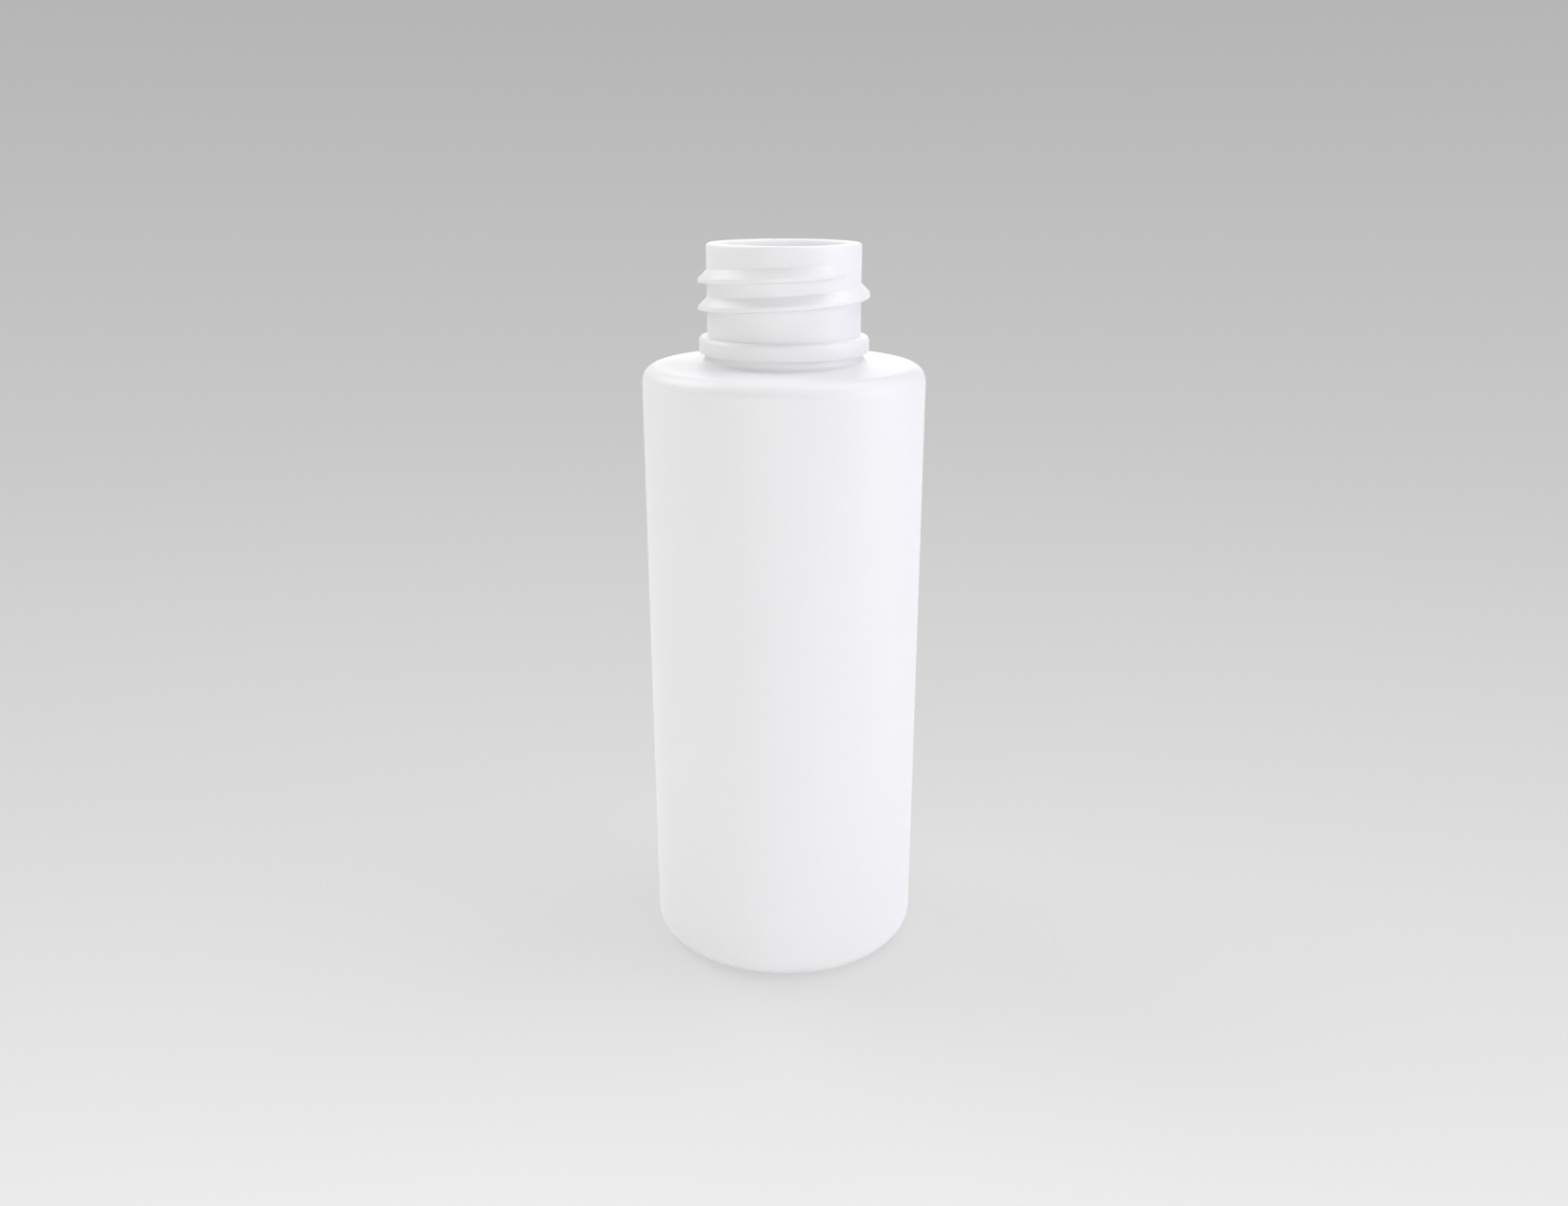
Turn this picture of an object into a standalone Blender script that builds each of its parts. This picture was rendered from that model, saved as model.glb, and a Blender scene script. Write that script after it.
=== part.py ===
"""White plastic cosmetic bottle, open, with the threaded neck that its cap screws onto.

The bottle is one blow-moulded shell: a plain round body with a rounded shoulder
and base edge, a collar under the thread, and a neck with one and a half turns of
right-handed buttress thread. It is hollow, with a pushed-up base that stands on
a narrow ring.

Metres, +Z up. The origin is on the ground under the middle of the base, and the
front of the bottle faces -Y.
"""

import math

import bmesh
import bpy
from mathutils import Vector

# Body, measured outside
BODY_RADIUS = 0.0165
SHOULDER_HEIGHT = 0.0731
SHOULDER_DROP = 0.0004
SHOULDER_ROUND = 0.0018
BASE_ROUND = 0.0023

# Base: a flat ring to stand on, and a dome pushed up inside it
STAND_RING_WIDTH = 0.0018
PUSH_UP_RISE = 0.0014

# Wall thicknesses and the rounds inside
BODY_WALL = 0.0011
SHOULDER_WALL = 0.0013
FLOOR_WALL = 0.0015
INNER_SHOULDER_ROUND = 0.0012
INNER_BASE_ROUND = 0.0014
INNER_NECK_ROUND = 0.0010

# Neck, from the shoulder up to the rim
ROOT_RADIUS = 0.0092
NECK_FOOT_ROUND = 0.0006
COLLAR_GAP = 0.0011
COLLAR_HEIGHT = 0.0018
COLLAR_RADIUS = 0.00985
COLLAR_ROUND = 0.0005
COLLAR_TO_RIM = 0.01035
NECK_RADIUS = 0.00885
BORE_RADIUS = 0.0073
RIM_OUTER_ROUND = 0.00035
RIM_INNER_ROUND = 0.00025

# Thread: a buttress rib that drops away steeply below and slopes above
THREAD_DEPTH = 0.0010
THREAD_CREST_WIDTH = 0.00044
THREAD_PITCH = 0.00305
THREAD_TURNS = 1.5
THREAD_CREST_TO_RIM = 0.0034
THREAD_SEAT = 0.0004
UPPER_FLANK_ANGLE = math.radians(45.0)
LOWER_FLANK_ANGLE = math.radians(10.0)
THREAD_END_ANGLE = math.radians(50.3)
RUN_OUT_ANGLE = math.radians(17.6)
RUN_OUT_POWER = 0.8

# Facets
ROUND_STEPS = 72
ARC_STEPS = 6
SMALL_ARC_STEPS = 3
DOME_STEPS = 5
SHARP_ANGLE = math.radians(28.0)
WELD_DISTANCE = 1e-7

# White high-density polyethylene with a soft shine
PLASTIC_COLOUR = (0.82, 0.82, 0.825, 1.0)
PLASTIC_ROUGHNESS = 0.38

# Heights and radii that follow from the sizes above
COLLAR_BOTTOM = SHOULDER_HEIGHT + COLLAR_GAP
COLLAR_TOP = COLLAR_BOTTOM + COLLAR_HEIGHT
RIM_HEIGHT = COLLAR_TOP + COLLAR_TO_RIM
CORNER_HEIGHT = SHOULDER_HEIGHT - SHOULDER_DROP
CAVITY_RADIUS = BODY_RADIUS - BODY_WALL
RING_INNER_RADIUS = BODY_RADIUS - BASE_ROUND - STAND_RING_WIDTH


def remove_objects():
    for item in list(bpy.data.objects):
        bpy.data.objects.remove(item, do_unlink=True)


def corner_arc(before, corner, after, radius, steps):
    """Points of the round of the given radius that replaces a corner of an outline."""
    to_before = (before - corner).normalized()
    to_after = (after - corner).normalized()
    half_angle = to_before.angle(to_after) / 2.0
    bisector = (to_before + to_after).normalized()
    centre = corner + bisector * (radius / math.sin(half_angle))
    start = corner + to_before * (radius / math.tan(half_angle)) - centre
    end = corner + to_after * (radius / math.tan(half_angle)) - centre
    sweep = start.angle_signed(end)
    points = []
    for step in range(steps + 1):
        angle = sweep * step / steps
        turned = Vector((
            start.x * math.cos(angle) + start.y * math.sin(angle),
            start.y * math.cos(angle) - start.x * math.sin(angle),
        ))
        points.append(centre + turned)
    return points


def rounded_outline(corners):
    """Outline through (radius, height, round, steps) corners, with each round put in."""
    places = [Vector((radius, height)) for radius, height, _, _ in corners]
    outline = []
    for index, (_, _, corner_round, steps) in enumerate(corners):
        if corner_round == 0:
            outline.append(places[index])
        else:
            outline += corner_arc(places[index - 1], places[index], places[index + 1], corner_round, steps)
    return outline


def dome_outline(edge_radius, edge_height, rise):
    """Arc of a shallow dome from its top on the axis down to its edge, edge left out."""
    sphere_radius = (edge_radius ** 2 + rise ** 2) / (2.0 * rise)
    half_angle = math.asin(edge_radius / sphere_radius)
    outline = []
    for step in range(DOME_STEPS):
        angle = half_angle * step / DOME_STEPS
        sink = sphere_radius * (1.0 - math.cos(angle))
        outline.append(Vector((sphere_radius * math.sin(angle), edge_height + rise - sink)))
    return outline


def outer_outline():
    """Outside of the bottle, from the middle of the base up to the rim."""
    dome = dome_outline(RING_INNER_RADIUS, 0.0, PUSH_UP_RISE)
    return dome + rounded_outline([
        (RING_INNER_RADIUS, 0.0, 0, 0),
        (BODY_RADIUS, 0.0, BASE_ROUND, ARC_STEPS),
        (BODY_RADIUS, CORNER_HEIGHT, SHOULDER_ROUND, ARC_STEPS),
        (ROOT_RADIUS, SHOULDER_HEIGHT, NECK_FOOT_ROUND, SMALL_ARC_STEPS),
        (ROOT_RADIUS, COLLAR_BOTTOM, 0, 0),
        (COLLAR_RADIUS, COLLAR_BOTTOM, 0, 0),
        (COLLAR_RADIUS, COLLAR_TOP, COLLAR_ROUND, SMALL_ARC_STEPS),
        (NECK_RADIUS, COLLAR_TOP, 0, 0),
        (NECK_RADIUS, RIM_HEIGHT, RIM_OUTER_ROUND, SMALL_ARC_STEPS),
        (BORE_RADIUS, RIM_HEIGHT, 0, 0),
    ])[:-1]


def inner_outline():
    """Inside of the bottle, from the rim down to the middle of the floor."""
    dome = dome_outline(RING_INNER_RADIUS, FLOOR_WALL, PUSH_UP_RISE)
    dome.reverse()
    return rounded_outline([
        (NECK_RADIUS, RIM_HEIGHT, 0, 0),
        (BORE_RADIUS, RIM_HEIGHT, RIM_INNER_ROUND, SMALL_ARC_STEPS),
        (BORE_RADIUS, SHOULDER_HEIGHT - SHOULDER_WALL, INNER_NECK_ROUND, SMALL_ARC_STEPS),
        (CAVITY_RADIUS, CORNER_HEIGHT - SHOULDER_WALL, INNER_SHOULDER_ROUND, SMALL_ARC_STEPS),
        (CAVITY_RADIUS, FLOOR_WALL, INNER_BASE_ROUND, SMALL_ARC_STEPS),
        (RING_INNER_RADIUS, FLOOR_WALL, 0, 0),
    ])[1:] + dome


def turn_outline(outline):
    """Mesh made by turning an outline of (radius, height) points once round +Z."""
    mesh = bmesh.new()
    profile = [mesh.verts.new((point.x, 0.0, point.y)) for point in outline]
    edges = [mesh.edges.new(pair) for pair in zip(profile, profile[1:])]
    bmesh.ops.spin(
        mesh, geom=profile + edges, cent=(0.0, 0.0, 0.0), axis=(0.0, 0.0, 1.0),
        angle=2.0 * math.pi, steps=ROUND_STEPS, use_merge=True,
    )
    bmesh.ops.remove_doubles(mesh, verts=mesh.verts, dist=WELD_DISTANCE)
    bmesh.ops.recalc_face_normals(mesh, faces=mesh.faces)
    return mesh


def thread_section(height, depth):
    """Section of the thread rib as (radius, height) points, from its upper foot round to its lower foot."""
    foot_radius = NECK_RADIUS - THREAD_SEAT
    crest_radius = NECK_RADIUS + depth
    reach = crest_radius - foot_radius
    half_crest = THREAD_CREST_WIDTH / 2.0
    return [
        (foot_radius, height + half_crest + reach * math.tan(UPPER_FLANK_ANGLE)),
        (crest_radius, height + half_crest),
        (crest_radius, height - half_crest),
        (foot_radius, height - half_crest - reach * math.tan(LOWER_FLANK_ANGLE)),
    ]


def thread_depth(angle):
    """Depth of the rib at an angle, sinking into the neck over the run-out at each end."""
    tip_depth = -THREAD_SEAT / 2.0
    lower_end = THREAD_END_ANGLE - THREAD_TURNS * 2.0 * math.pi
    to_nearer_end = min(THREAD_END_ANGLE - angle, angle - lower_end)
    share = min(1.0, max(0.0, to_nearer_end / RUN_OUT_ANGLE))
    return tip_depth + (THREAD_DEPTH - tip_depth) * share ** RUN_OUT_POWER


def thread_mesh():
    """The rib wound round the neck, rising from left to right across the front."""
    front_height = RIM_HEIGHT - THREAD_CREST_TO_RIM
    steps = round(ROUND_STEPS * THREAD_TURNS)
    mesh = bmesh.new()
    rings = []
    for step in range(steps + 1):
        angle = THREAD_END_ANGLE - THREAD_TURNS * 2.0 * math.pi * step / steps
        height = front_height + THREAD_PITCH * angle / (2.0 * math.pi)
        rings.append([
            mesh.verts.new((radius * math.sin(angle), -radius * math.cos(angle), z))
            for radius, z in thread_section(height, thread_depth(angle))
        ])
    for ring, following in zip(rings, rings[1:]):
        for index in range(len(ring)):
            after = (index + 1) % len(ring)
            mesh.faces.new((ring[index], ring[after], following[after], following[index]))
    mesh.faces.new(rings[0])
    mesh.faces.new(rings[-1])
    bmesh.ops.triangulate(mesh, faces=mesh.faces)
    bmesh.ops.recalc_face_normals(mesh, faces=mesh.faces)
    return mesh


def plastic_material():
    material = bpy.data.materials.new("white_plastic")
    material.use_nodes = True
    shader = material.node_tree.nodes["Principled BSDF"]
    shader.inputs["Base Color"].default_value = PLASTIC_COLOUR
    shader.inputs["Roughness"].default_value = PLASTIC_ROUGHNESS
    shader.inputs["Metallic"].default_value = 0.0
    return material


def add_object(name, mesh, material):
    data = bpy.data.meshes.new(name)
    mesh.to_mesh(data)
    mesh.free()
    data.materials.append(material)
    item = bpy.data.objects.new(name, data)
    bpy.context.scene.collection.objects.link(item)
    return item


def weld_on(item, rib):
    """Join the rib to the item as one solid, and take the rib's own object away."""
    weld = item.modifiers.new("weld", "BOOLEAN")
    weld.operation = "UNION"
    weld.solver = "EXACT"
    weld.object = rib
    with bpy.context.temp_override(object=item):
        bpy.ops.object.modifier_apply(modifier=weld.name)
    bpy.data.objects.remove(rib, do_unlink=True)


def main():
    remove_objects()
    plastic = plastic_material()
    bottle = add_object("bottle", turn_outline(outer_outline() + inner_outline()), plastic)
    rib = add_object("thread_rib", thread_mesh(), plastic)
    weld_on(bottle, rib)
    bottle.data.shade_smooth()
    bottle.data.set_sharp_from_angle(angle=SHARP_ANGLE)


main()
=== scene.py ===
"""White plastic cosmetic bottle: its fine shell, its finish and the studio it stands in.

The bottle is modelled as one blow-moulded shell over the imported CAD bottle: the body is
drawn up into shoulder, collar and neck, over the rim and down the inside, and the screw
thread is wound on and welded to the neck. The front faces -Y, and lengths are in metres.
"""

import math
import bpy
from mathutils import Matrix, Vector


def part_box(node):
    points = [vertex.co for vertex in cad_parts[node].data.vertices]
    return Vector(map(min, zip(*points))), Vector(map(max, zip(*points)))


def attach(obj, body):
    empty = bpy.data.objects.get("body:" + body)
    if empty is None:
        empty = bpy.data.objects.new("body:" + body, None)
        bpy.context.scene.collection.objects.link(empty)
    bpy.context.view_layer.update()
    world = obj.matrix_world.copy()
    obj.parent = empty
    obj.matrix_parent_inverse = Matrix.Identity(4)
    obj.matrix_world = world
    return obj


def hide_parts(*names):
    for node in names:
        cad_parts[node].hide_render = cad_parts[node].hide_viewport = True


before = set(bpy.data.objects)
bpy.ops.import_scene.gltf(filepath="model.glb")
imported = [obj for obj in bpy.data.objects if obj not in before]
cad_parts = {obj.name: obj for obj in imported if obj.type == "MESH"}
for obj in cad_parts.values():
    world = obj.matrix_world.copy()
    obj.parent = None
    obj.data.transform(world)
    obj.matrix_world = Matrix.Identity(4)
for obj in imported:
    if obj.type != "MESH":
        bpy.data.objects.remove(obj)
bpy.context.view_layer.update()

from types import SimpleNamespace

import bmesh
import bpy
from bpy.props import FloatProperty, FloatVectorProperty, IntProperty, PointerProperty
from mathutils import Vector

bl_info = {
    "name": "Cosmetic bottle",
    "version": (1, 0, 0),
    "blender": (4, 5, 0),
    "location": "3D View > Sidebar > Bottle",
    "description": "Models a white plastic bottle with a screw neck, and a plain studio for it",
    "category": "Object",
}

CAD_LOW, CAD_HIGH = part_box("bottle")

ORIGIN = (0.0, 0.0, 0.0)
FULL_TURN = 2.0 * math.pi
QUARTER_TURN = math.pi / 2.0

# How far off still counts as in place, and how close two vertices are to be merged
PLACE_TOLERANCE = 1e-5
MERGE_DISTANCE = 1e-7

# Angles past which an edge is softened, and past which it is shaded as an edge
SOFTEN_LIMIT = math.radians(40.0)
SMOOTH_LIMIT = math.radians(30.0)

# Segments of the rounds
BODY_SEGMENTS = 12
COLLAR_SEGMENTS = 8
RIM_SEGMENTS = 6
INSIDE_SEGMENTS = 6
RING_SEGMENTS = 4
FINE_SEGMENTS = 2

# The parting line is two segments wide, so that it has a middle that can be raised
PARTING_SEGMENTS = 2

# Rings of a dome, and steps of the ridge that is wound across it
DOME_RINGS = 8
PINCH_STEPS = 32

# The thread's depth grows from its end with this power of the way through the run-out
RUN_OUT_POWER = 0.8

# Plastic: slot of the inside's material, refraction, scatter of red, green and blue, and noise detail
INSIDE_SLOT = 1
PLASTIC_IOR = 1.54
SCATTER_EVENLY = (1.0, 1.0, 1.0)
CLOUD_DETAIL = 3.0
WAVE_DETAIL = 1.0
GRAIN_DETAIL = 2.0

# Sockets of a mix node that mixes colours
MIX_FACTOR = 0
MIX_FIRST = 6
MIX_SECOND = 7
MIX_RESULT = 2

# Floor: a painted pool of light with soft corners below the camera, darker away from it, its lightness
# read at fall-off / (distance + core)
FLOOR_FALL_OFF = 0.1046
FLOOR_CORE = 0.0314
PAINTED_POOL_WIDTH = 1.4
PAINTED_POOL_CORNERS = 3.0
PAINTED_POOL_LIGHTNESS = ((0.0, 0.507), (0.25, 0.598), (0.5, 0.7013), (0.8, 0.8379), (1.0, 0.87))

# Lightness that white paint on the open floor gets from the lamps and the sky
FLOOR_LIGHT = 1.06

# Surroundings: lightness by height above the horizon, and strength of the even light from the sky
WALL_LIGHTNESS = ((0.0, 0.5065), (0.11, 0.4621), (0.5, 0.3763), (1.0, 0.305))
SKY_STRENGTH = 0.47

# Lamps: name, bearing and height in degrees, watts, tint
LAMP_DISTANCE = 0.7
LAMP_WIDTH = 0.4
LAMPS = (
    ("left_rear_lamp", -122.0, 45.0, 1.9, (0.97, 0.97, 1.0)),
    ("rear_lamp", 180.0, 20.0, 0.85, (1.0, 1.0, 1.0)),
    ("right_high_lamp", 110.0, 60.0, 1.7, (1.0, 0.99, 1.0)),
    ("right_front_lamp", 76.0, 15.0, 1.55, (0.83, 0.85, 1.0)),
    ("front_lamp", -14.0, 13.0, 1.3, (1.0, 0.96, 0.94)),
)
CAMERA_CLIP_START = 0.01


def length(name, description, default):
    return FloatProperty(
        name=name, description=description, default=default, min=0.0,
        precision=5, subtype="DISTANCE", unit="LENGTH",
    )


def angle(name, description, degrees):
    return FloatProperty(
        name=name, description=description, default=math.radians(degrees),
        subtype="ANGLE", unit="ROTATION",
    )


def share(name, description, default):
    return FloatProperty(
        name=name, description=description, default=default, min=0.0, max=1.0,
        precision=3, subtype="FACTOR",
    )


def colour(name, description, default):
    return FloatVectorProperty(
        name=name, description=description, default=default, size=4, min=0.0, max=1.0,
        subtype="COLOR",
    )


class ShellSizes(bpy.types.PropertyGroup):
    body_radius: length("Body radius", "Outside of the round body", CAD_HIGH.x)
    overall_height: length("Overall height", "From the ground to the rim", CAD_HIGH.z)
    shoulder_drop: length("Shoulder drop", "Fall of the shoulder from the neck to the body", 0.0004)
    shoulder_round: length("Shoulder round", "Radius of the edge between shoulder and body", 0.0018)
    base_round: length("Base round", "Radius of the edge between body and base", 0.0023)
    ring_width: length("Stand ring width", "Flat ring that the bottle stands on", 0.0018)
    ring_round: length("Stand ring round", "Radius of the ring's inner edge", 0.0003)
    push_up: length("Push-up", "Rise of the base inside the stand ring", 0.0014)
    body_wall: length("Body wall", "Thickness of the body's wall", 0.0011)
    shoulder_wall: length("Shoulder wall", "Thickness of the shoulder", 0.0013)
    floor_wall: length("Floor wall", "Thickness of the base", 0.0015)
    inner_shoulder_round: length("Inner shoulder round", "Radius inside the shoulder's edge", 0.0012)
    inner_base_round: length("Inner base round", "Radius inside the base's edge", 0.0014)
    inner_neck_round: length("Inner neck round", "Radius where the bore opens into the body", 0.0010)
    facets: IntProperty(name="Facets", description="Facets round the bottle", default=240, min=24)


class NeckSizes(bpy.types.PropertyGroup):
    root_radius: length("Root radius", "Neck below the collar", 0.0092)
    foot_round: length("Foot round", "Radius where the neck meets the shoulder", 0.0006)
    collar_gap: length("Collar gap", "From the shoulder up to the collar", 0.0011)
    collar_height: length("Collar height", "Height of the collar", 0.0018)
    collar_radius: length("Collar radius", "Outside of the collar", 0.00985)
    collar_round: length("Collar round", "Radius of the collar's upper edge", 0.0005)
    collar_edge: length("Collar edge", "Radius of the collar's lower edge", 0.00006)
    collar_to_rim: length("Collar to rim", "From the collar's top to the rim", 0.01035)
    neck_radius: length("Neck radius", "Neck under the thread", 0.00885)
    bore_radius: length("Bore radius", "Inside of the neck", 0.0073)
    rim_outer_round: length("Rim outer round", "Radius of the rim's outer edge", 0.00035)
    rim_inner_round: length("Rim inner round", "Radius of the rim's inner edge", 0.00025)


class ThreadSizes(bpy.types.PropertyGroup):
    depth: length("Depth", "Height of the thread above the neck", 0.0010)
    crest_width: length("Crest width", "Width of the thread's flat top", 0.00044)
    pitch: length("Pitch", "Rise of the thread in one turn", 0.00305)
    turns: FloatProperty(name="Turns", description="Turns of the thread", default=1.5, min=0.1)
    crest_to_rim: length("Crest to rim", "From the upper crest to the rim, at the front", 0.0034)
    upper_flank: angle("Upper flank", "Slope of the upper flank from level", 45.0)
    lower_flank: angle("Lower flank", "Slope of the lower flank from level", 10.0)
    upper_end: angle("Upper end", "Where the thread ends, round from the front to the right", 50.3)
    run_out: angle("Run-out", "Angle over which each end sinks into the neck", 17.6)
    edge: length("Edge", "Softness of the thread's edges", 0.00004)
    seat: length("Seat", "How deep the thread's foot is set into the neck", 0.0002)


class MouldMarks(bpy.types.PropertyGroup):
    line_width: length("Line width", "Width of the parting line that runs up both sides", 0.00024)
    line_height: length("Line height", "How far the parting line stands out", 0.00002)
    line_start: length("Line start", "Height above the ground where the parting line starts", 0.0003)
    pinch_reach: length("Pinch reach", "How far the pinch-off runs from the middle of the base", 0.0092)
    pinch_width: length("Pinch width", "Width of the pinch-off", 0.0005)
    pinch_height: length("Pinch height", "How far the pinch-off stands out of the base", 0.00018)


class PlasticFinish(bpy.types.PropertyGroup):
    white: colour("White", "Main colour of the plastic", (0.82, 0.82, 0.825, 1.0))
    cloud: colour("Cloud", "Colour where the white is a little duller", (0.8, 0.801, 0.808, 1.0))
    smoothest: share("Smoothest", "Roughness of the smoothest patches", 0.4)
    roughest: share("Roughest", "Roughness of the dullest patches", 0.5)
    sheen: share("Sheen", "Pale sheen where the plastic is seen edge on", 0.5)
    sheen_spread: share("Sheen spread", "How far the sheen reaches in from the edges", 0.35)
    depth: length("Depth", "How far light wanders inside the plastic", 0.0006)
    glow: share("Glow", "How much of the light that comes back has wandered inside", 0.15)
    inner_depth: length("Inner depth", "How far daylight wanders through the wall to the inside", 0.003)
    inner_glow: share("Inner glow", "How much of the light inside has come through the wall", 0.85)
    cloud_size: length("Cloud size", "Size of the duller patches", 0.02)
    wave_size: length("Wave size", "Length of the slow waves in the blown wall", 0.009)
    wave_height: length("Wave height", "Height of the slow waves", 0.000004)
    grain_size: length("Grain size", "Size of the fine texture", 0.00022)
    grain_height: length("Grain height", "Height of the fine texture", 0.0000012)


class StudioSettings(bpy.types.PropertyGroup):
    camera_distance: length("Camera distance", "From the bottle's axis to the camera, level", 0.1532)
    camera_height: length("Camera height", "Camera above the ground", 0.09427)
    camera_tilt: angle("Camera tilt", "How far the camera looks down", 18.406)
    focal_length: FloatProperty(
        name="Focal length", description="Lens in millimetres", default=29.96, min=1.0,
    )
    floor_size: length("Floor size", "Width of the floor", 20.0)
    floor_paint: share("Floor paint", "Lightness of the floor that lights the bottle from below", 0.92)
    shadow: share("Shadow", "How much of the floor's look by the bottle is real light and shadow", 0.3)
    shadow_reach: length("Shadow reach", "How far from the bottle the floor still shows shadow", 0.4)


def derived_sizes(shell, neck):
    """Heights and radii that follow from the sizes of the shell and the neck."""
    collar_top = shell.overall_height - neck.collar_to_rim
    collar_bottom = collar_top - neck.collar_height
    shoulder = collar_bottom - neck.collar_gap
    corner = shoulder - shell.shoulder_drop
    return SimpleNamespace(
        collar_top=collar_top,
        collar_bottom=collar_bottom,
        shoulder=shoulder,
        corner=corner,
        under_shoulder=shoulder - shell.shoulder_wall,
        under_corner=corner - shell.shoulder_wall,
        cavity=shell.body_radius - shell.body_wall,
        ring_inner=shell.body_radius - shell.base_round - shell.ring_width,
    )


def near(a, b):
    return abs(a - b) < PLACE_TOLERANCE


def from_axis(place):
    return math.hypot(place.x, place.y)


def is_at(vertex, radius, height):
    return near(from_axis(vertex.co), radius) and near(vertex.co.z, height)


def deselect_objects():
    bpy.ops.object.select_all(action="DESELECT")


def select_where(piece, kind, wanted):
    """In edit mode, select just the vertices or edges that pass a test."""
    bpy.ops.mesh.select_mode(type=kind)
    bpy.ops.mesh.select_all(action="DESELECT")
    mesh = bmesh.from_edit_mesh(piece.data)
    for item in mesh.verts if kind == "VERT" else mesh.edges:
        if wanted(item):
            item.select_set(True)
    bmesh.update_edit_mesh(piece.data)


def select_cap(piece, height):
    """Select the one flat face that closes the shell at a height."""
    bpy.ops.mesh.select_mode(type="FACE")
    bpy.ops.mesh.select_all(action="DESELECT")
    mesh = bmesh.from_edit_mesh(piece.data)
    cap = max(
        (face for face in mesh.faces if near(face.calc_center_median().z, height)),
        key=lambda face: face.calc_area(),
    )
    cap.select_set(True)
    bmesh.update_edit_mesh(piece.data)


def draw_cap(ring, stations):
    """Extrude the selected cap from its ring through (radius, height) stations, and return the last."""
    for radius, height in stations:
        bpy.ops.mesh.extrude_region()
        bpy.ops.transform.translate(value=(0.0, 0.0, height - ring[1]))
        scale = radius / ring[0]
        bpy.ops.transform.resize(value=(scale, scale, 1.0), center_override=ORIGIN)
        ring = (radius, height)
    return ring


def bevel_selected(width, segments):
    bpy.ops.mesh.bevel(offset_type="OFFSET", offset=width, segments=segments, affect="EDGES")


def round_ring(piece, radius, height, size, segments):
    """Bevel the ring of edges at a radius and height into a round."""
    def in_ring(edge):
        return all(is_at(vertex, radius, height) for vertex in edge.verts)

    select_where(piece, "EDGE", in_ring)
    bevel_selected(size, segments)


def dome_sphere(edge_radius, rise):
    """Radius of the sphere that a shallow dome is cut from."""
    return (edge_radius ** 2 + rise ** 2) / (2.0 * rise)


def dome_stations(edge_radius, edge_height, rise):
    """Rings of a shallow dome, from inside its edge to close round its top."""
    sphere_radius = dome_sphere(edge_radius, rise)
    half_angle = math.asin(edge_radius / sphere_radius)
    stations = []
    for step in range(DOME_RINGS - 1, 0, -1):
        turn = half_angle * step / DOME_RINGS
        sink = sphere_radius * (1.0 - math.cos(turn))
        stations.append((sphere_radius * math.sin(turn), edge_height + rise - sink))
    return stations


def raise_parting_line(piece, marks, top, ring_inner):
    """Raise the fine ridge where the halves of the mould meet, up the left and the right side."""
    def on_line(vertex):
        on_base = vertex.co.z < top / 2.0 and from_axis(vertex.co) < ring_inner + PLACE_TOLERANCE
        in_height = marks.line_start < vertex.co.z < top + PLACE_TOLERANCE
        return near(vertex.co.y, 0.0) and in_height and not on_base

    select_where(piece, "EDGE", lambda edge: all(on_line(vertex) for vertex in edge.verts))
    bevel_selected(marks.line_width / 2.0, PARTING_SEGMENTS)
    select_where(piece, "VERT", on_line)
    bpy.ops.transform.shrink_fatten(value=marks.line_height)


def draw_outside(piece, shell, neck, sizes):
    """Draw the body's top up into shoulder, collar and neck, and its bottom in under the base."""
    select_cap(piece, sizes.corner)
    draw_cap((shell.body_radius, sizes.corner), [
        (neck.root_radius, sizes.shoulder),
        (neck.root_radius, sizes.collar_bottom),
        (neck.collar_radius, sizes.collar_bottom),
        (neck.collar_radius, sizes.collar_top),
        (neck.neck_radius, sizes.collar_top),
        (neck.neck_radius, shell.overall_height),
    ])
    select_cap(piece, 0.0)
    ring = draw_cap((shell.body_radius, 0.0), [(sizes.ring_inner, 0.0)])
    draw_cap(ring, dome_stations(sizes.ring_inner, 0.0, shell.push_up))
    bpy.ops.mesh.poke()

    round_ring(piece, shell.body_radius, 0.0, shell.base_round, BODY_SEGMENTS)
    round_ring(piece, sizes.ring_inner, 0.0, shell.ring_round, RING_SEGMENTS)
    round_ring(piece, shell.body_radius, sizes.corner, shell.shoulder_round, BODY_SEGMENTS)
    round_ring(piece, neck.root_radius, sizes.shoulder, neck.foot_round, COLLAR_SEGMENTS)
    round_ring(piece, neck.collar_radius, sizes.collar_bottom, neck.collar_edge, FINE_SEGMENTS)
    round_ring(piece, neck.collar_radius, sizes.collar_top, neck.collar_round, COLLAR_SEGMENTS)
    round_ring(piece, neck.neck_radius, shell.overall_height, neck.rim_outer_round, RIM_SEGMENTS)


def draw_inside(piece, shell, neck, sizes):
    """Draw the top of the neck in over the rim, and down the bore and the cavity to the floor."""
    select_cap(piece, shell.overall_height)
    ring = draw_cap((neck.neck_radius - neck.rim_outer_round, shell.overall_height), [
        (neck.bore_radius, shell.overall_height),
        (neck.bore_radius, sizes.under_shoulder),
        (sizes.cavity, sizes.under_corner),
        (sizes.cavity, shell.floor_wall),
        (sizes.ring_inner, shell.floor_wall),
    ])
    draw_cap(ring, dome_stations(sizes.ring_inner, shell.floor_wall, shell.push_up))
    bpy.ops.mesh.poke()

    round_ring(piece, neck.bore_radius, shell.overall_height, neck.rim_inner_round, RIM_SEGMENTS)
    round_ring(piece, neck.bore_radius, sizes.under_shoulder, shell.inner_neck_round, INSIDE_SEGMENTS)
    round_ring(piece, sizes.cavity, sizes.under_corner, shell.inner_shoulder_round, INSIDE_SEGMENTS)
    round_ring(piece, sizes.cavity, shell.floor_wall, shell.inner_base_round, INSIDE_SEGMENTS)


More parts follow.
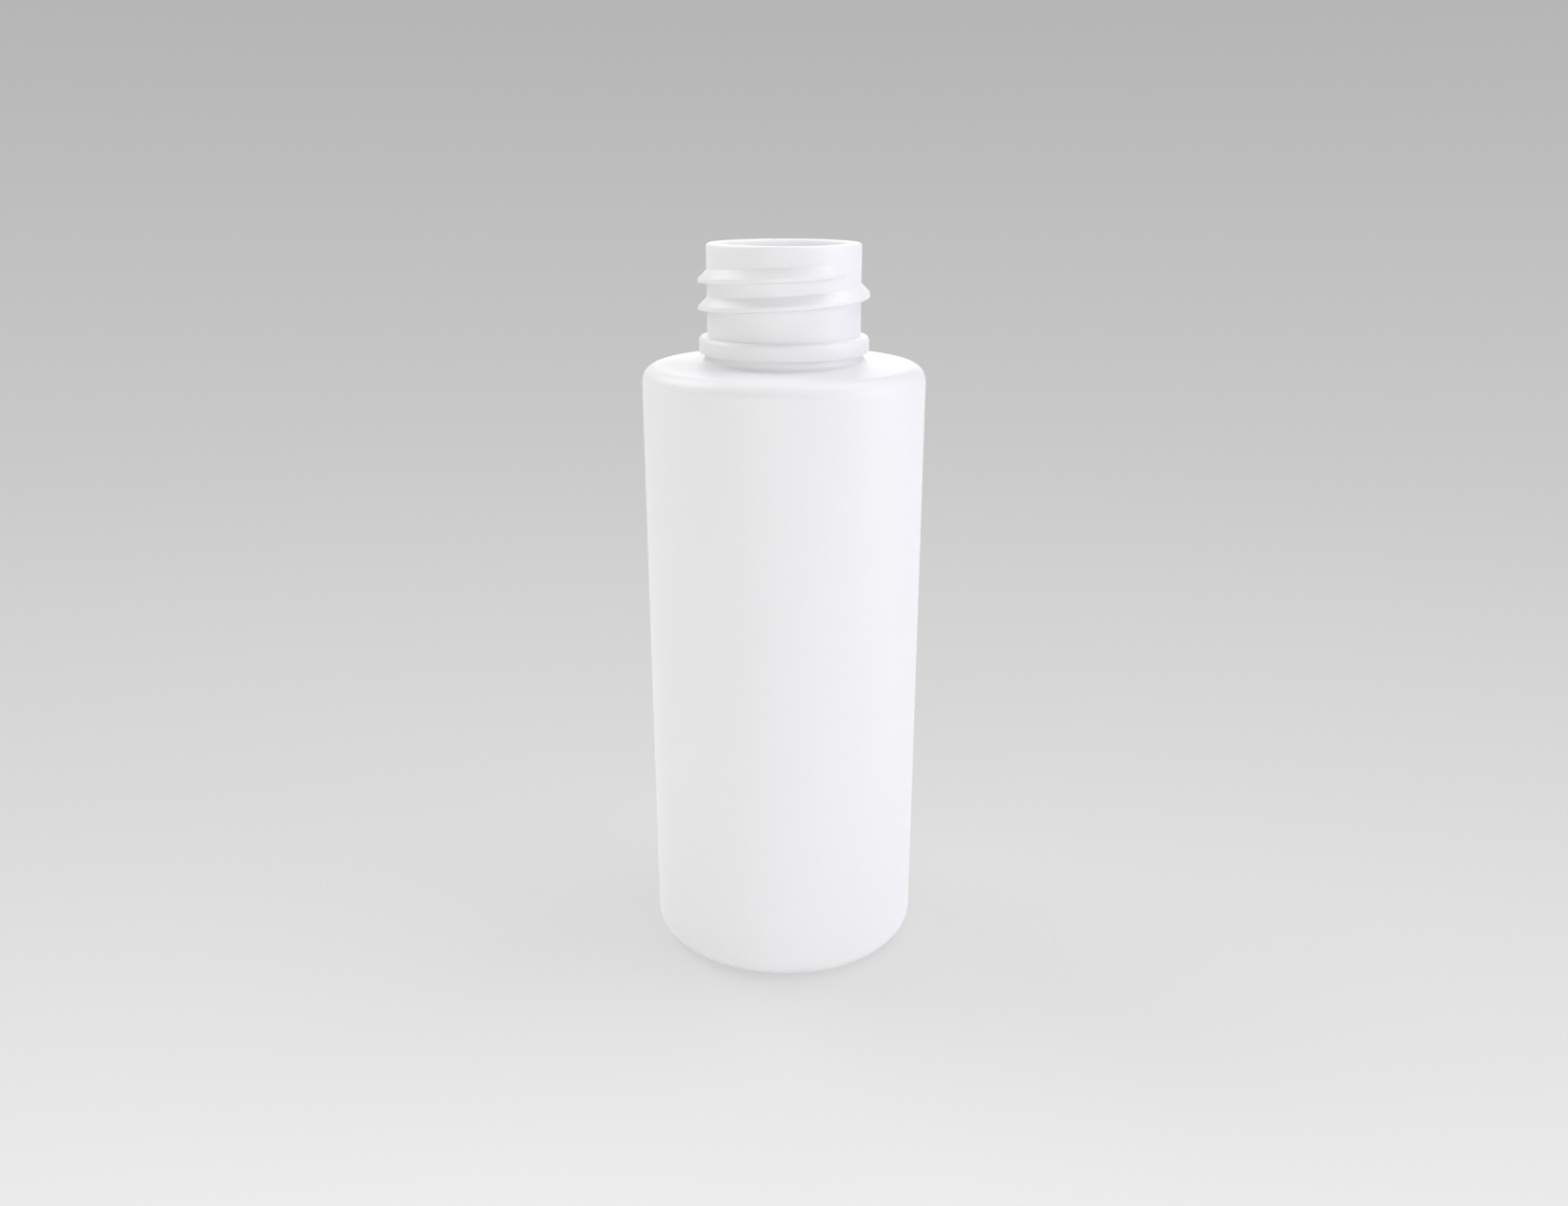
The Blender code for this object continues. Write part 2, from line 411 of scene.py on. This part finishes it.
def make_shell(shell, neck, marks):
    """The bottle's wall, drawn up the outside, over the rim and down the inside."""
    sizes = derived_sizes(shell, neck)
    deselect_objects()
    bpy.ops.mesh.primitive_cylinder_add(
        vertices=shell.facets, radius=shell.body_radius, depth=sizes.corner,
        location=(0.0, 0.0, sizes.corner / 2.0), end_fill_type="NGON",
    )
    piece = bpy.context.object
    piece.name = "bottle_shell"
    bpy.ops.object.transform_apply(location=True, rotation=True, scale=True)
    bpy.ops.object.mode_set(mode="EDIT")
    draw_outside(piece, shell, neck, sizes)
    raise_parting_line(piece, marks, shell.overall_height - neck.rim_outer_round, sizes.ring_inner)
    draw_inside(piece, shell, neck, sizes)
    bpy.ops.object.mode_set(mode="OBJECT")
    return piece


def move_corner(piece, radius, height, rise):
    """Move the one vertex at a radius and height up by a rise."""
    select_where(piece, "VERT", lambda vertex: is_at(vertex, radius, height))
    bpy.ops.transform.translate(value=(0.0, 0.0, rise))


def turn_about_axis(turn):
    """Turn what is selected round the bottle's axis, from the front towards the right."""
    bpy.ops.transform.rotate(value=-turn, orient_axis="Z", center_override=ORIGIN)


def make_thread(shell, neck, thread):
    """The thread as one rib, wound up round the neck from its lower end to its upper end."""
    foot = neck.neck_radius - thread.seat
    reach = thread.seat + thread.depth
    sunk = -thread.seat / 2.0
    sweep = thread.turns * FULL_TURN
    start = thread.upper_end - sweep
    steps = round(shell.facets * thread.turns)
    turn = sweep / steps
    rise = thread.pitch * thread.turns / steps
    front_height = shell.overall_height - thread.crest_to_rim
    half_crest = thread.crest_width / 2.0

    def depth_at(step):
        run = min(1.0, min(step, steps - step) * turn / thread.run_out)
        return sunk + (thread.depth - sunk) * run ** RUN_OUT_POWER

    deselect_objects()
    bpy.ops.mesh.primitive_plane_add(
        size=1.0, location=(0.0, -(foot + reach / 2.0), front_height),
        rotation=(QUARTER_TURN, 0.0, QUARTER_TURN),
    )
    rib = bpy.context.object
    rib.name = "thread_rib"
    bpy.ops.transform.resize(value=(1.0, reach, thread.crest_width))
    bpy.ops.object.transform_apply(location=True, rotation=True, scale=True)
    bpy.ops.object.mode_set(mode="EDIT")
    move_corner(rib, foot, front_height + half_crest, reach * math.tan(thread.upper_flank))
    move_corner(rib, foot, front_height - half_crest, -reach * math.tan(thread.lower_flank))

    bpy.ops.mesh.select_mode(type="FACE")
    bpy.ops.mesh.select_all(action="SELECT")
    bpy.ops.transform.translate(value=(0.0, thread.depth - sunk, rise * start / turn))
    turn_about_axis(start)
    for step in range(1, steps + 1):
        grown = depth_at(step) - depth_at(step - 1)
        here = start + step * turn
        bpy.ops.mesh.extrude_region()
        turn_about_axis(turn)
        bpy.ops.transform.translate(value=(grown * math.sin(here), -grown * math.cos(here), rise))
    bpy.ops.mesh.select_all(action="SELECT")
    bpy.ops.mesh.normals_make_consistent(inside=False)
    bpy.ops.object.mode_set(mode="OBJECT")
    soften_edges(rib, thread.edge)
    return rib


def apply_modifier(piece, modifier):
    deselect_objects()
    piece.select_set(True)
    bpy.context.view_layer.objects.active = piece
    bpy.ops.object.modifier_apply(modifier=modifier.name)


def soften_edges(piece, width):
    """Bevel every sharp edge."""
    soften = piece.modifiers.new("soften", "BEVEL")
    soften.width = width
    soften.segments = FINE_SEGMENTS
    soften.limit_method = "ANGLE"
    soften.angle_limit = SOFTEN_LIMIT
    apply_modifier(piece, soften)


def weld(piece, other):
    """Join the other solid to the piece, merge what coincides, and remove the other's object."""
    union = piece.modifiers.new("weld", "BOOLEAN")
    union.operation = "UNION"
    union.solver = "EXACT"
    union.object = other
    apply_modifier(piece, union)
    bpy.ops.object.mode_set(mode="EDIT")
    bpy.ops.mesh.select_all(action="SELECT")
    bpy.ops.mesh.remove_doubles(threshold=MERGE_DISTANCE)
    bpy.ops.object.mode_set(mode="OBJECT")
    bpy.data.objects.remove(other, do_unlink=True)


def make_pinch_off(shell, neck, marks):
    """The ridge that the closing mould leaves across the pushed-up base, curved with its dome."""
    sphere_radius = dome_sphere(derived_sizes(shell, neck).ring_inner, shell.push_up)
    half_sweep = math.asin(marks.pinch_reach / sphere_radius)

    deselect_objects()
    bpy.ops.mesh.primitive_plane_add(
        size=1.0, location=(0.0, 0.0, shell.push_up), rotation=(0.0, QUARTER_TURN, 0.0),
    )
    ridge = bpy.context.object
    ridge.name = "pinch_off"
    bpy.ops.transform.resize(value=(1.0, marks.pinch_width, marks.pinch_height * 2.0))
    bpy.ops.object.transform_apply(location=True, rotation=True, scale=True)
    bpy.ops.object.mode_set(mode="EDIT")
    bpy.ops.mesh.select_all(action="SELECT")
    centre = (0.0, 0.0, shell.push_up - sphere_radius)
    bpy.ops.transform.rotate(value=-half_sweep, orient_axis="Y", center_override=centre)
    bpy.ops.mesh.spin(steps=PINCH_STEPS, angle=2.0 * half_sweep, center=centre, axis=(0.0, 1.0, 0.0))
    bpy.ops.mesh.select_all(action="SELECT")
    bpy.ops.mesh.normals_make_consistent(inside=False)
    bpy.ops.object.mode_set(mode="OBJECT")
    soften_edges(ridge, marks.pinch_height / 2.0)
    return ridge


def feed(tree, socket, value):
    """Give a socket a value, or link another node's output to it."""
    if isinstance(value, bpy.types.NodeSocket):
        tree.links.new(value, socket)
    else:
        socket.default_value = value


def new_node(tree, kind, **inputs):
    """Add a node, and feed its inputs by name."""
    node = tree.nodes.new(kind)
    for name, value in inputs.items():
        feed(tree, node.inputs[name.replace("_", " ")], value)
    return node


def math_node(tree, operation, *values):
    """Work out one step of arithmetic from numbers or other nodes' outputs."""
    node = tree.nodes.new("ShaderNodeMath")
    node.operation = operation
    for socket, value in zip(node.inputs, values):
        feed(tree, socket, value)
    return node.outputs["Value"]


def mix_colours(tree, factor, first, second):
    """Colour that goes from the first to the second as the factor goes from 0 to 1."""
    mix = tree.nodes.new("ShaderNodeMix")
    mix.data_type = "RGBA"
    feed(tree, mix.inputs[MIX_FACTOR], factor)
    feed(tree, mix.inputs[MIX_FIRST], first)
    feed(tree, mix.inputs[MIX_SECOND], second)
    return mix.outputs[MIX_RESULT]


def mix_shaders(tree, factor, first, second):
    """Shader that goes from the first to the second as the factor goes from 0 to 1."""
    mix = tree.nodes.new("ShaderNodeMixShader")
    for socket, value in zip(mix.inputs, (factor, first, second)):
        feed(tree, socket, value)
    return mix.outputs["Shader"]


def noise_field(tree, place, size, detail):
    """Soft random field with blobs of about the given size."""
    noise = new_node(tree, "ShaderNodeTexNoise", Vector=place, Scale=1.0 / size, Detail=detail)
    return noise.outputs["Fac"]


def bump_layer(tree, height, distance, **below):
    """Relief of the given height in metres, over the Normal of the layer below if there is one."""
    return new_node(tree, "ShaderNodeBump", Height=height, Distance=distance, **below).outputs["Normal"]


def plastic_material(name, finish, glow, depth):
    """Satin white plastic with faint clouds, the slow waves of a blown wall, and a fine grain."""
    material = bpy.data.materials.new(name)
    material.use_nodes = True
    tree = material.node_tree
    place = tree.nodes.new("ShaderNodeTexCoord").outputs["Object"]
    clouds = noise_field(tree, place, finish.cloud_size, CLOUD_DETAIL)
    waves = noise_field(tree, place, finish.wave_size, WAVE_DETAIL)
    grain = noise_field(tree, place, finish.grain_size, GRAIN_DETAIL)
    dullness = new_node(
        tree, "ShaderNodeMapRange", Value=waves, To_Min=finish.smoothest, To_Max=finish.roughest,
    )
    relief = bump_layer(tree, waves, finish.wave_height)

    shader = tree.nodes["Principled BSDF"]
    for socket, value in (
        ("Base Color", mix_colours(tree, clouds, finish.white, finish.cloud)),
        ("Roughness", dullness.outputs["Result"]),
        ("Normal", bump_layer(tree, grain, finish.grain_height, Normal=relief)),
        ("IOR", PLASTIC_IOR),
        ("Sheen Weight", finish.sheen),
        ("Sheen Roughness", finish.sheen_spread),
        ("Subsurface Weight", glow),
        ("Subsurface Radius", SCATTER_EVENLY),
        ("Subsurface Scale", depth),
    ):
        feed(tree, shader.inputs[socket], value)
    return material


def finish_inside(piece, shell, neck):
    """Give the bore and the cavity the second material, through which daylight comes in."""
    sizes = derived_sizes(shell, neck)
    ceiling = sizes.shoulder - shell.shoulder_wall / 2.0
    middle_of_base = (shell.push_up + shell.floor_wall) / 2.0
    for face in piece.data.polygons:
        radius = from_axis(face.center)
        in_bore = radius < neck.bore_radius + neck.rim_inner_round / 2.0
        in_cavity = radius < sizes.cavity + shell.body_wall / 2.0 and face.center.z < ceiling
        if face.center.z > middle_of_base and (in_bore or in_cavity):
            face.material_index = INSIDE_SLOT


class BOTTLE_OT_model_shell(bpy.types.Operator):
    """Model the bottle in one piece, with its thread and its plastic"""
    bl_idname = "bottle.model_shell"
    bl_label = "Bottle"

    def execute(self, context):
        scene = context.scene
        shell, neck, marks = scene.bottle_shell, scene.bottle_neck, scene.bottle_marks
        plastic = scene.bottle_plastic
        bottle = make_shell(shell, neck, marks)
        weld(bottle, make_thread(shell, neck, scene.bottle_thread))
        weld(bottle, make_pinch_off(shell, neck, marks))
        bottle.data.materials.clear()
        for name, glow, depth in (
            ("white_plastic", plastic.glow, plastic.depth),
            ("white_plastic_inside", plastic.inner_glow, plastic.inner_depth),
        ):
            bottle.data.materials.append(plastic_material(name, plastic, glow, depth))
        finish_inside(bottle, shell, neck)
        bpy.ops.object.shade_smooth_by_angle(angle=SMOOTH_LIMIT)
        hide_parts("bottle")
        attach(bottle, "root")
        return {"FINISHED"}


def grey(lightness):
    return (lightness, lightness, lightness, 1.0)


def grey_ramp(tree, factor, stops):
    """Neutral colour that follows (place, lightness) stops."""
    ramp = new_node(tree, "ShaderNodeValToRGB", Fac=factor)
    for place, _ in stops[1:-1]:
        ramp.color_ramp.elements.new(place)
    for element, (place, lightness) in zip(ramp.color_ramp.elements, stops):
        element.position = place
        element.color = grey(lightness)
    return ramp.outputs["Color"]


def seen_directly(tree):
    """1 for what the camera sees, also in gloss and through glass, and 0 for what gives light."""
    rays = tree.nodes.new("ShaderNodeLightPath").outputs
    mirrored = math_node(tree, "MAXIMUM", rays["Is Glossy Ray"], rays["Is Transmission Ray"])
    return math_node(tree, "MAXIMUM", rays["Is Camera Ray"], mirrored)


def painted_floor_pool(tree, place, camera_distance):
    """Grey of the floor with painted light, palest in a painted pool of light below the camera and
    darker away from it.
    """
    axes = new_node(tree, "ShaderNodeSeparateXYZ", Vector=place).outputs
    ahead = math_node(tree, "ADD", axes["Y"], camera_distance)
    beside = math_node(tree, "DIVIDE", axes["X"], PAINTED_POOL_WIDTH)
    powers = [
        math_node(tree, "POWER", math_node(tree, "ABSOLUTE", offset), PAINTED_POOL_CORNERS)
        for offset in (ahead, beside)
    ]
    away = math_node(tree, "POWER", math_node(tree, "ADD", *powers), 1.0 / PAINTED_POOL_CORNERS)
    nearness = math_node(tree, "DIVIDE", FLOOR_FALL_OFF, math_node(tree, "ADD", away, FLOOR_CORE))
    return grey_ramp(tree, nearness, PAINTED_POOL_LIGHTNESS)


def floor_material(studio):
    """Pale floor with a painted pool of light that grows darker away from the camera; it keeps the
    bottle's real shadow.
    """
    material = bpy.data.materials.new("pale_floor_with_painted_pool")
    material.use_nodes = True
    tree = material.node_tree
    tree.nodes.clear()
    place = tree.nodes.new("ShaderNodeTexCoord").outputs["Object"]
    # The camera sees painted light here: the floor's grey is a painted pool, palest below the camera.
    look = painted_floor_pool(tree, place, studio.camera_distance)
    plain = new_node(tree, "ShaderNodeEmission", Color=look)
    # The lit share's paint carries the same painted pool of light, so the real shadow falls on it.
    paint = mix_colours(tree, 1.0 / FLOOR_LIGHT, grey(0.0), look)
    lit = new_node(tree, "ShaderNodeBsdfDiffuse", Color=paint)

    from_bottle = new_node(tree, "ShaderNodeVectorMath", Vector=place)
    from_bottle.operation = "LENGTH"
    shadow = new_node(
        tree, "ShaderNodeMapRange", Value=from_bottle.outputs["Value"],
        From_Max=studio.shadow_reach, To_Min=studio.shadow, To_Max=0.0,
    )
    shadow.interpolation_type = "SMOOTHSTEP"
    seen = mix_shaders(tree, shadow.outputs["Result"], plain.outputs["Emission"], lit.outputs["BSDF"])
    board = new_node(tree, "ShaderNodeBsdfDiffuse", Color=grey(studio.floor_paint))
    either = mix_shaders(tree, seen_directly(tree), board.outputs["BSDF"], seen)
    new_node(tree, "ShaderNodeOutputMaterial", Surface=either)
    return material


def studio_world():
    """Pale surroundings: what the camera sees above the floor, and the soft light from all round."""
    world = bpy.data.worlds.new("studio")
    world.use_nodes = True
    tree = world.node_tree
    tree.nodes.clear()
    way = tree.nodes.new("ShaderNodeTexCoord").outputs["Generated"]
    axes = new_node(tree, "ShaderNodeSeparateXYZ", Vector=way)
    look = grey_ramp(tree, axes.outputs["Z"], WALL_LIGHTNESS)
    wall = new_node(tree, "ShaderNodeBackground", Color=look)
    sky = new_node(tree, "ShaderNodeBackground", Color=grey(1.0), Strength=SKY_STRENGTH)
    either = mix_shaders(
        tree, seen_directly(tree), sky.outputs["Background"], wall.outputs["Background"],
    )
    new_node(tree, "ShaderNodeOutputWorld", Surface=either)
    bpy.context.scene.world = world


def add_lamp(name, bearing, height, power, tint):
    """Soft square lamp that faces the middle of the bottle, its bearing from the front to the right."""
    bearing, height = math.radians(bearing), math.radians(height)
    level = LAMP_DISTANCE * math.cos(height)
    rise = LAMP_DISTANCE * math.sin(height)
    middle = Vector((0.0, 0.0, (CAD_LOW.z + CAD_HIGH.z) / 2.0))
    place = middle + Vector((level * math.sin(bearing), -level * math.cos(bearing), rise))
    facing = (place - middle).to_track_quat("Z", "Y").to_euler()
    deselect_objects()
    bpy.ops.object.light_add(type="AREA", location=place, rotation=facing)
    lamp = bpy.context.object
    lamp.name = name
    lamp.data.shape = "SQUARE"
    lamp.data.size = LAMP_WIDTH
    lamp.data.energy = power
    lamp.data.color = tint
    lamp.visible_camera = False


class BOTTLE_OT_set_studio(bpy.types.Operator):
    """Set out the pale floor, the soft lamps and the camera"""
    bl_idname = "bottle.set_studio"
    bl_label = "Studio"

    def execute(self, context):
        studio = context.scene.bottle_studio
        context.scene.view_settings.view_transform = "Standard"
        deselect_objects()
        bpy.ops.mesh.primitive_plane_add(size=studio.floor_size, location=ORIGIN)
        floor = context.object
        floor.name = "floor"
        floor.data.materials.append(floor_material(studio))
        studio_world()
        for lamp in LAMPS:
            add_lamp(*lamp)

        deselect_objects()
        bpy.ops.object.camera_add(
            location=(0.0, -studio.camera_distance, studio.camera_height),
            rotation=(QUARTER_TURN - studio.camera_tilt, 0.0, 0.0),
        )
        camera = context.object
        camera.name = "studio_camera"
        camera.data.lens = studio.focal_length
        camera.data.clip_start = CAMERA_CLIP_START
        context.scene.camera = camera
        return {"FINISHED"}


# Each group of settings, with its name in the scene and its title in the panel
GROUPS = (
    ("bottle_shell", "Shell", ShellSizes),
    ("bottle_neck", "Neck", NeckSizes),
    ("bottle_thread", "Thread", ThreadSizes),
    ("bottle_marks", "Mould marks", MouldMarks),
    ("bottle_plastic", "Plastic", PlasticFinish),
    ("bottle_studio", "Studio", StudioSettings),
)
OPERATORS = (BOTTLE_OT_model_shell, BOTTLE_OT_set_studio)


class BOTTLE_PT_sidebar(bpy.types.Panel):
    """Sizes, finish and studio of the bottle"""
    bl_idname = "BOTTLE_PT_sidebar"
    bl_label = "Cosmetic Bottle"
    bl_space_type = "VIEW_3D"
    bl_region_type = "UI"
    bl_category = "Bottle"

    def draw(self, context):
        for name, title, group in GROUPS:
            column = self.layout.column(align=True)
            column.label(text=title)
            for field in group.__annotations__:
                column.prop(getattr(context.scene, name), field)
        for operator in OPERATORS:
            self.layout.operator(operator.bl_idname)


CLASSES = (*(group for _, _, group in GROUPS), *OPERATORS, BOTTLE_PT_sidebar)


def register():
    for item in CLASSES:
        bpy.utils.register_class(item)
    for name, _, group in GROUPS:
        setattr(bpy.types.Scene, name, PointerProperty(type=group))


def unregister():
    for name, _, _ in GROUPS:
        delattr(bpy.types.Scene, name)
    for item in reversed(CLASSES):
        bpy.utils.unregister_class(item)


def main():
    register()
    bpy.ops.bottle.model_shell()
    bpy.ops.bottle.set_studio()


if __name__ == "__main__":
    main()
